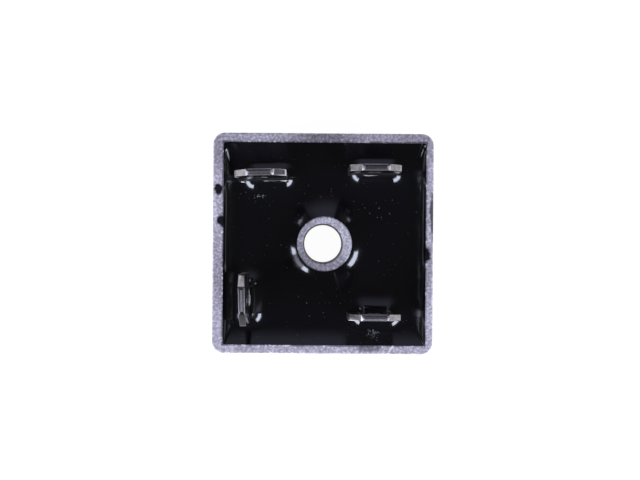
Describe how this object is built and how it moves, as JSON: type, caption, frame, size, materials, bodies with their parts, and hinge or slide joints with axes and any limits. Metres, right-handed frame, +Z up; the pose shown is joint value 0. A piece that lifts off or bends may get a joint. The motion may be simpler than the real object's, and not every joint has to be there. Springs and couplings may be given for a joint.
{
  "type": "bridge rectifier",
  "caption": "Square metal-case bridge rectifier potted in black resin, with a screw hole through its middle and quick-connect tabs.",
  "frame": {"origin": "centre of the base face, on the axis of the screw hole", "axes": "+Z up the screw hole towards the tabs; +Y towards the side with the negative tab and AC tab A; +X towards the side with the negative tab and AC tab B"},
  "size_m": [0.0286, 0.0286, 0.0215],
  "materials": {
    "case_metal": "tumbled, fine grain",
    "potting_resin": "glossy poured resin",
    "tab_metal": "tin-plated, half gloss",
    "copper": "stamped copper",
    "silicon": "polished silicon",
    "solder": "reflowed solder",
    "ceramic": "fired alumina"
  },
  "bodies": {
    "root": {"case": "case_metal", "base_insulator": "ceramic", "potting": "potting_resin", "positive_frame": "copper", "negative_frame": "copper", "ac_strap_a": "copper", "ac_strap_b": "copper", "die_a_positive": "silicon", "die_a_negative": "silicon", "die_b_positive": "silicon", "die_b_negative": "silicon", "lower_solder_a_positive": "solder", "lower_solder_a_negative": "solder", "lower_solder_b_positive": "solder", "lower_solder_b_negative": "solder", "upper_solder_a_positive": "solder", "upper_solder_a_negative": "solder", "upper_solder_b_positive": "solder", "upper_solder_b_negative": "solder", "ac_tab_a": "tab_metal", "negative_tab": "tab_metal", "ac_tab_b": "tab_metal", "positive_tab": "tab_metal", "solder_ac_tab_a": "solder", "solder_negative_tab": "solder", "solder_ac_tab_b": "solder", "solder_positive_tab": "solder"}
  },
  "joints": []
}
